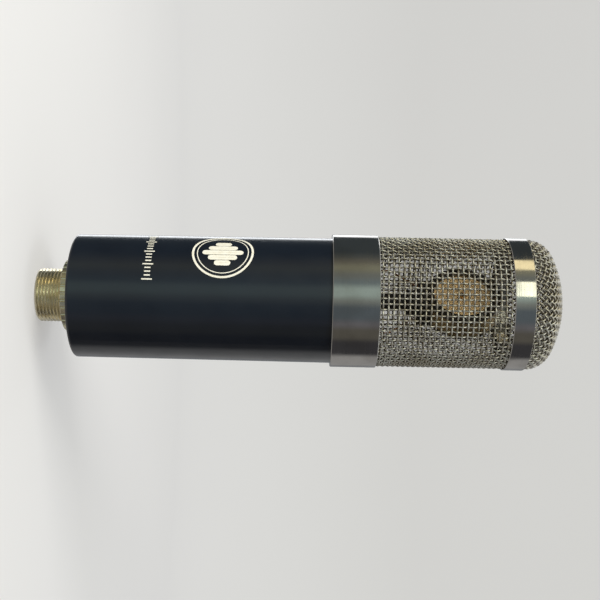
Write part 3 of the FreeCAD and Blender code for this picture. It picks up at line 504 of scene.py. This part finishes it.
def cylinder_weave():
    """Plain weave: wires along the axis and hoops that pass over and under each other."""
    visible = band_foot - collar_top
    hoops = round(visible / HOOP_PITCH)
    pitch = visible / hoops
    first = collar_top + pitch / 2
    low, high = cylinder_low.z + SEAT_GAP, cylinder_high.z - SEAT_GAP
    steps = round((high - low) / pitch * STEPS_PER_CROSSING)
    heights = np.linspace(low, high, steps)[None, :]
    wire = np.arange(AXIAL_WIRES)[:, None]
    wave = np.cos(math.pi * (heights - first) / pitch) * (-1.0) ** wire
    angles = wire * TURN / AXIAL_WIRES
    paths, outward = around(angles, WEAVE_RADIUS + WIRE_RADIUS * wave, heights)
    points, faces = swept(paths, outward, WIRE_RADIUS, WIRE_SIDES)
    piece(
        "grille_axial_wires", points, faces, "mesh_wire", replaces=["grille_mesh_cylinder"],
        sharp=WIRE_SHARP,
    )
    steps = AXIAL_WIRES * STEPS_PER_CROSSING
    angles = (np.arange(steps) * TURN / steps)[None, :]
    hoop = np.arange(hoops)[:, None]
    wave = -np.cos(angles * AXIAL_WIRES / 2) * (-1.0) ** hoop
    paths, outward = around(angles, WEAVE_RADIUS + WIRE_RADIUS * wave, first + hoop * pitch)
    points, faces = swept(paths, outward, WIRE_RADIUS, WIRE_SIDES, closed=True)
    piece(
        "grille_hoop_wires", points, faces, "mesh_wire", replaces=["grille_mesh_cylinder"],
        sharp=WIRE_SHARP,
    )
    return pitch


class Dome:
    """The dome's middle surface: a shallow cap, a round shoulder and a short upright wall."""

    def __init__(self, inset):
        self.shoulder_x = dome_high.x - SHOULDER_RADIUS
        apart = CAP_RADIUS - SHOULDER_RADIUS
        rise = math.sqrt(apart**2 - self.shoulder_x**2)
        self.cap_centre = dome_high.z - CAP_RADIUS
        self.shoulder_z = self.cap_centre + rise
        self.cap = CAP_RADIUS - inset
        self.shoulder = SHOULDER_RADIUS - inset
        self.join = math.atan2(self.shoulder_x, rise)
        self.cap_length = self.cap * self.join
        self.shoulder_length = self.shoulder * (math.pi / 2 - self.join)
        wall_length = self.shoulder_z - dome_low.z - SEAT_GAP
        self.length = self.cap_length + self.shoulder_length + wall_length

    def at(self, u, v, lift):
        """The point that lies (u, v) from the top when cloth is laid over the dome, raised by lift,
        and the surface's normal there."""
        run = np.hypot(u, v)
        bearing = np.arctan2(v, u)
        tilt = np.where(
            run < self.cap_length,
            run / self.cap,
            self.join + (run - self.cap_length) / self.shoulder,
        )
        tilt = np.minimum(tilt, math.pi / 2)
        on_cap = run < self.cap_length
        reach = np.where(
            on_cap, self.cap * np.sin(tilt), self.shoulder_x + self.shoulder * np.sin(tilt)
        )
        height = np.where(
            on_cap,
            self.cap_centre + self.cap * np.cos(tilt),
            self.shoulder_z + self.shoulder * np.cos(tilt),
        )
        beyond = np.maximum(run - self.cap_length - self.shoulder_length, 0)
        height = height - beyond
        normal = np.stack(
            [np.sin(tilt) * np.cos(bearing), np.sin(tilt) * np.sin(bearing), np.cos(tilt)], -1
        )
        points = np.stack([reach * np.cos(bearing), reach * np.sin(bearing), height], -1)
        return points + normal * np.asarray(lift)[..., None], normal


def dome_cloth(dome, pitch, radius, sides, steps, along_x, lift, flat=False):
    """One direction of a square weave that is pressed over the dome. Flat wires don't wave."""
    count = math.floor(dome.length / pitch)
    parts = []
    for i in range(-count, count + 1):
        offset = (i + 0.5) * pitch
        if abs(offset) >= dome.length - pitch:
            continue
        half = math.sqrt(dome.length**2 - offset**2)
        number = max(4, round(2 * half / pitch * steps))
        run = np.linspace(-half, half, number)
        wave = np.cos(math.pi * (run / pitch - 0.5)) * (-1.0) ** i * lift
        if flat:
            wave = np.full(number, lift)
        fixed = np.full(number, offset)
        u, v = (run, fixed) if along_x else (fixed, run)
        path, outward = dome.at(u, v, wave if along_x else -wave)
        parts.append(swept(path[None], outward[None], radius, sides))
    return joined(parts)


def dome_weave(pitch):
    dome = Dome(2 * WIRE_RADIUS)
    for name, along_x in (("grille_dome_wires_across", True), ("grille_dome_wires_along", False)):
        points, faces = dome_cloth(
            dome, pitch, WIRE_RADIUS, WIRE_SIDES, STEPS_PER_CROSSING, along_x, WIRE_RADIUS
        )
        piece(name, points, faces, "mesh_wire", replaces=["grille_mesh_dome"], sharp=WIRE_SHARP)


def fine_screen():
    """The fine screen behind the coarse weave, of thin straight wires in two layers."""
    low, high = extent("fine_mesh_cylinder")
    radius = high.x - 2 * FINE_WIRE_RADIUS
    count = round(TURN * radius / FINE_PITCH)
    heights = np.linspace(low.z, high.z, FINE_UPRIGHT_STEPS)[None, :]
    angles = (np.arange(count) * TURN / count)[:, None]
    upright = swept(
        *around(angles, radius - FINE_WIRE_RADIUS, heights), FINE_WIRE_RADIUS, FINE_SIDES
    )
    hoops = round((high.z - low.z) / FINE_PITCH) - 1
    heights = (low.z + (np.arange(hoops) + 1) * FINE_PITCH)[:, None]
    angles = (np.arange(FINE_HOOP_STEPS) * TURN / FINE_HOOP_STEPS)[None, :]
    round_wires = swept(
        *around(angles, radius + FINE_WIRE_RADIUS, heights), FINE_WIRE_RADIUS, FINE_SIDES, True
    )
    points, faces = joined([upright, round_wires])
    piece("fine_screen_cylinder", points, faces, "fine_mesh", replaces=["fine_mesh_cylinder"])
    dome = Dome(dome_high.x - high.x + 2 * FINE_WIRE_RADIUS)
    layers = [
        dome_cloth(
            dome, FINE_PITCH, FINE_WIRE_RADIUS, FINE_SIDES, FINE_PITCH / FINE_STEP, along_x,
            FINE_WIRE_RADIUS, flat=True,
        )
        for along_x in (True, False)
    ]
    points, faces = joined(layers)
    piece("fine_screen_dome", points, faces, "fine_mesh", replaces=["fine_mesh_dome"])


dome_weave(cylinder_weave())
fine_screen()


# ---- threaded connector housing ----

THREAD_PITCH = 1.5
THREAD_DEPTH = 0.75
THREAD_SEGMENTS = 120
ROWS_PER_THREAD = 8
CREST_SHARE = 0.15
FLANK_SHARE = 0.7
LEAD_IN = 1.0
LEAD_IN_DEPTH = 0.6
RUN_OUT = 0.8
HOUSING_RADIUS = 12.0
NECK_RADIUS = 12.5
FLANGE_THICKNESS = 4.0
SOCKET_RADIUS = 8.2
SOCKET_CHAMFER = 0.4
BORE_GAP = 0.05
HOUSING_SHARP = 28


def thread_radius(height, low, high):
    """Radius round the turn at this height: a flat-topped helical ridge that fades at both ends."""

    def radius(angles):
        phase = (height / THREAD_PITCH - angles / TURN) % 1.0
        ridge = np.clip((np.abs(phase - 0.5) * 2 - CREST_SHARE) / FLANK_SHARE, 0.0, 1.0)
        lead_in = max(0.0, 1.0 - (height - low) / LEAD_IN)
        run_out = max(0.0, 1.0 - (high - height) / RUN_OUT)
        depth = np.maximum(ridge * THREAD_DEPTH, lead_in * LEAD_IN_DEPTH)
        return HOUSING_RADIUS - np.maximum(depth, run_out * THREAD_DEPTH)

    return radius


def threaded_housing():
    """The connector's housing, turned in one piece: thread, plain neck, flange and stepped bore."""
    low, high = extent("connector_housing")
    thread_end = extent("lock_ring")[0].z
    insert_low, insert_high = extent("xlr_insulator")
    flange_high = extent("chassis_end_plate")[0].z
    flange_low = flange_high - FLANGE_THICKNESS
    bore = insert_high.x + BORE_GAP
    rows = []
    steps = round((thread_end - low.z) / THREAD_PITCH * ROWS_PER_THREAD)
    for height in np.linspace(low.z, thread_end, steps + 1):
        rows.append((thread_radius(height, low.z, thread_end), height))
    rows += [
        (NECK_RADIUS, thread_end),
        (NECK_RADIUS, flange_low),
        (high.x, flange_low),
        (high.x, flange_high),
        (bore, flange_high),
        (bore, insert_low.z),
        (SOCKET_RADIUS, insert_low.z),
        (SOCKET_RADIUS, low.z + SOCKET_CHAMFER),
        (SOCKET_RADIUS + SOCKET_CHAMFER, low.z),
    ]
    points, faces = lathe(rows, THREAD_SEGMENTS)
    piece(
        "connector_housing_threaded", points, faces, "brass_threaded",
        replaces=["connector_housing"], sharp=HOUSING_SHARP,
    )


threaded_housing()


# ---- print on the body ----

BODY_LOW_RADIUS = 27.75
BODY_TOP_RADIUS = 28.25
body_low, body_high = extent("body_tube")
INK_LIFT = 0.05
INK_ROOT = -0.04
CIRCLE_STEPS = 72
MARK_STEPS = 24
BAR_END_STEPS = 9
TICK_STEPS = 4
FRONT = -math.pi / 2
BACK = math.pi / 2
EMBLEM_HEIGHT = 84.0
EMBLEM_RADIUS = 13.0
EMBLEM_LINE = 0.95
THIN_LINE = 0.4
RING_GAP = 1.9
LEVEL_BARS = ((-6.0, 2.2), (-3.0, 5.0), (0.0, 7.6), (3.0, 5.0), (6.0, 2.2))
BAR_END = 0.7
BAR_SEAM = 0.06
SCALE_HEIGHT = 52.0
SCALE_TICKS = [(1.8 * i, 2.3 if i % 4 == 0 else 1.3) for i in range(-8, 9)]
TICK_LINE = 0.62
SWITCH_NAMES = ("voice_switch", "lowcut_switch", "pad_switch")
SWITCH_MARKS = ((-5.4, 0.4, 0.7), (5.4, 0.65, 0.3))


def body_radius(height):
    share = (height - body_low.z) / (body_high.z - body_low.z)
    return BODY_LOW_RADIUS + (BODY_TOP_RADIUS - BODY_LOW_RADIUS) * share


def stroke(points, width, radius_at, bearing, closed=False):
    """A printed line on the round wall. Each point is (distance round the wall, height)."""
    path = np.asarray(points, float)
    if closed:
        forward = np.roll(path, -1, axis=0) - np.roll(path, 1, axis=0)
    else:
        forward = np.gradient(path, axis=0)
    forward /= np.linalg.norm(forward, axis=1, keepdims=True)
    aside = np.stack([-forward[:, 1], forward[:, 0]], 1) * width / 2
    rows = []
    for edge, level in ((1, INK_LIFT), (-1, INK_LIFT), (-1, INK_ROOT), (1, INK_ROOT)):
        flat = path + aside * edge
        wall = np.array([radius_at(height) for height in flat[:, 1]])
        angles = bearing + flat[:, 0] / wall
        reach = wall + level
        rows.append(np.stack([reach * np.cos(angles), reach * np.sin(angles), flat[:, 1]], 1))
    points = np.stack(rows, 1).reshape(-1, 3)
    index = np.arange(len(points)).reshape(-1, 4)
    after = np.roll(index, -1, axis=0) if closed else index[1:]
    before = index if closed else index[:-1]
    faces = np.stack([before, np.roll(before, -1, 1), np.roll(after, -1, 1), after], -1)
    faces = faces.reshape(-1, 4).tolist()
    if not closed:
        faces += [index[0, ::-1].tolist(), index[-1].tolist()]
    return points, faces


def circle(x, z, radius, count=CIRCLE_STEPS):
    angles = np.arange(count) * TURN / count
    return np.stack([x + radius * np.cos(angles), z + radius * np.sin(angles)], 1)


def rounded_bar(x, z, half):
    """The middle line of the stroke that fills an upright bar with round ends."""
    turn = np.linspace(0, math.pi, BAR_END_STEPS)
    top = np.stack([x + BAR_END * np.cos(turn), z + half + BAR_END * np.sin(turn)], 1)
    return np.concatenate([top, 2 * np.array([[x, z]]) - top])


def front_print():
    """A generic emblem, five level bars in a double ring, and a plain scale of ticks below it."""

    def draw(path, width, closed=True):
        parts.append(stroke(path, width, body_radius, FRONT, closed))

    parts = []
    draw(circle(0, EMBLEM_HEIGHT, EMBLEM_RADIUS), EMBLEM_LINE)
    draw(circle(0, EMBLEM_HEIGHT, EMBLEM_RADIUS - RING_GAP), THIN_LINE)
    for x, half in LEVEL_BARS:
        draw(rounded_bar(x, EMBLEM_HEIGHT, half), 2 * BAR_END - BAR_SEAM)
    for x, half in SCALE_TICKS:
        tick = np.linspace((x, SCALE_HEIGHT - half), (x, SCALE_HEIGHT + half), TICK_STEPS)
        draw(tick, TICK_LINE, False)
    points, faces = joined(parts)
    piece("front_print", points, faces, "body_lacquer", INK)


def switch_print():
    """A dot and a ring at the two ends of each switch's slot."""
    plate = extent("switch_plate")[1].y
    parts = []
    for name in SWITCH_NAMES:
        low, high = extent(f"{name}_knob")
        for x, radius, width in SWITCH_MARKS:
            mark = circle(x, (low.z + high.z) / 2, radius, MARK_STEPS)
            parts.append(stroke(mark, width, lambda height: plate, BACK, True))
    points, faces = joined(parts)
    piece("switch_print", points, faces, "switch_plate_finish", INK)


front_print()
switch_print()


# ---- stage and light ----


# Panels all round the microphone, seen in its metal: the turn from the camera where each ends, in
# degrees, and its light. They take all 32 stops that a ramp can have.
PANELS = (
    (-150, (0.24, 0.25, 0.26)),
    (-108, (0.34, 0.34, 0.34)),
    (-70, (0.05, 0.05, 0.055)),
    (-46, (0.115, 0.11, 0.095)),
    (-34, (0.155, 0.155, 0.17)),
    (-6, (0.11, 0.135, 0.155)),
    (5, (0.23, 0.255, 0.24)),
    (26, (0.37, 0.46, 0.43)),
    (38, (0.17, 0.21, 0.22)),
    (51, (0.18, 0.195, 0.18)),
    (66, (0.25, 0.25, 0.185)),
    (77, (0.15, 0.145, 0.12)),
    (88, (0.08, 0.088, 0.085)),
    (149, (0.048, 0.058, 0.063)),
    (163, (2.3, 2.37, 2.45)),
    (180, (0.24, 0.25, 0.26)),
)
PANEL_EDGE = 5.0
RAMP_MIDDLE = 0.5
CEILING = (0.66, 0.68, 0.68)
CEILING_FADE = (0.30, 0.85)
GROUND = (0.30, 0.295, 0.285)
GROUND_FADE = (-0.20, -0.60)
FLOOR_DROP = 0.3
FLOOR_RADIUS = 560.0
FLOOR_HOLE = 0.01
FLOOR_SEGMENTS = 128
FLOOR_BEND = 260.0
FLOOR_BEND_STEPS = 16
WALL_HEIGHT = 900.0
STAGE_GLOW = 0.38


def pale_surface():
    s = Shader("stage", Roughness=0.9, Specular_IOR_Level=0.0)
    s.surface.inputs["Emission Color"].default_value = (1.0, 0.99, 0.975, 1.0)
    s.surface.inputs["Emission Strength"].default_value = STAGE_GLOW
    s.colour(s.mixed(s.noise(120.0, 2.0), (0.42, 0.415, 0.41), (0.405, 0.40, 0.395)))
    return s.material


def cove():
    """A round floor that curves up into a wall, the same from every side. Only the camera sees it,
    so that the panels beyond it light the microphone."""
    rows = [(FLOOR_HOLE, -FLOOR_DROP)]
    for i in range(FLOOR_BEND_STEPS + 1):
        angle = i / FLOOR_BEND_STEPS * math.pi / 2
        rise = FLOOR_BEND * (1 - math.cos(angle))
        rows.append((FLOOR_RADIUS + FLOOR_BEND * math.sin(angle), rise - FLOOR_DROP))
    rows.append((FLOOR_RADIUS + FLOOR_BEND, WALL_HEIGHT))
    points, faces = lathe(rows, FLOOR_SEGMENTS, closed=False)
    mesh = bpy.data.meshes.new("cove")
    mesh.from_pydata((points * MM).tolist(), [], faces)
    mesh.shade_smooth()
    mesh.materials.append(pale_surface())
    floor = bpy.data.objects.new("cove", mesh)
    bpy.context.scene.collection.objects.link(floor)
    for kind in ("diffuse", "glossy", "transmission", "shadow"):
        setattr(floor, f"visible_{kind}", False)


def softbox(name, turn, rise, distance, width, height, power, colour=(1, 1, 1), seen=True):
    """An area light. turn is from the camera towards the top of the picture, rise above level."""
    data = bpy.data.lights.new(name, "AREA")
    data.shape = "RECTANGLE"
    data.size = width * MM
    data.size_y = height * MM
    data.energy = power
    data.color = colour
    lamp = bpy.data.objects.new(name, data)
    bpy.context.scene.collection.objects.link(lamp)
    level = facing(turn) * math.cos(math.radians(rise))
    towards = level + Vector((0, 0, math.sin(math.radians(rise))))
    lamp.location = middle_of_object() + towards * distance * MM
    lamp.rotation_euler = towards.to_track_quat("Z", "Y").to_euler()
    lamp.visible_camera = False
    lamp.visible_glossy = seen


def panel_light():
    """The world: the panels by bearing, fading into the ceiling above and the ground below."""
    world = bpy.data.worlds.new("studio")
    bpy.context.scene.world = world
    world.use_nodes = True
    tree = NodeTree(world.node_tree)
    split = tree.nodes.new("ShaderNodeSeparateXYZ")
    direction = tree.nodes.new("ShaderNodeTexCoord").outputs["Generated"]
    tree.links.new(direction, split.inputs["Vector"])
    across = tree.math("MULTIPLY", split.outputs["Y"], -1.0)
    bearing = tree.math("ARCTAN2", split.outputs["X"], across)
    # The camera's own direction falls on the ramp's middle. The whole turn more keeps it positive.
    start = CAMERA_AZIMUTH / 360 + RAMP_MIDDLE + 1
    turn = tree.math("SUBTRACT", start, tree.math("DIVIDE", bearing, TURN))
    ramp = tree.nodes.new("ShaderNodeValToRGB")
    tree.links.new(tree.math("FRACT", turn), ramp.inputs["Fac"])
    stops = ramp.color_ramp.elements
    stops[0].color = (*PANELS[0][1], 1.0)
    stops[1].color = (*PANELS[-1][1], 1.0)
    for (end, colour), (_, following) in zip(PANELS, PANELS[1:]):
        for shift, value in ((-PANEL_EDGE, colour), (PANEL_EDGE, following)):
            stops.new((end + shift) / 360 + RAMP_MIDDLE).color = (*value, 1.0)
    height = split.outputs["Z"]
    upper = tree.mixed(tree.ranged(height, *CEILING_FADE), ramp.outputs["Color"], CEILING)
    lower = tree.mixed(tree.ranged(height, *GROUND_FADE), upper, GROUND)
    tree.links.new(lower, world.node_tree.nodes["Background"].inputs["Color"])


def light():
    panel_light()
    softbox("key", 71, 22, 900, 300, 300, 0.38, (1.0, 0.86, 0.50))
    softbox("window", 26, 30, 900, 380, 420, 0.95, (1.0, 0.99, 0.76))
    softbox("fill", 45, 25, 900, 500, 500, 7.5, (1.0, 0.985, 0.95), seen=False)
    softbox("overhead", 0, 88, 1000, 700, 700, 1.3, seen=False)


cove()
light()
bpy.context.scene.view_settings.view_transform = "Standard"
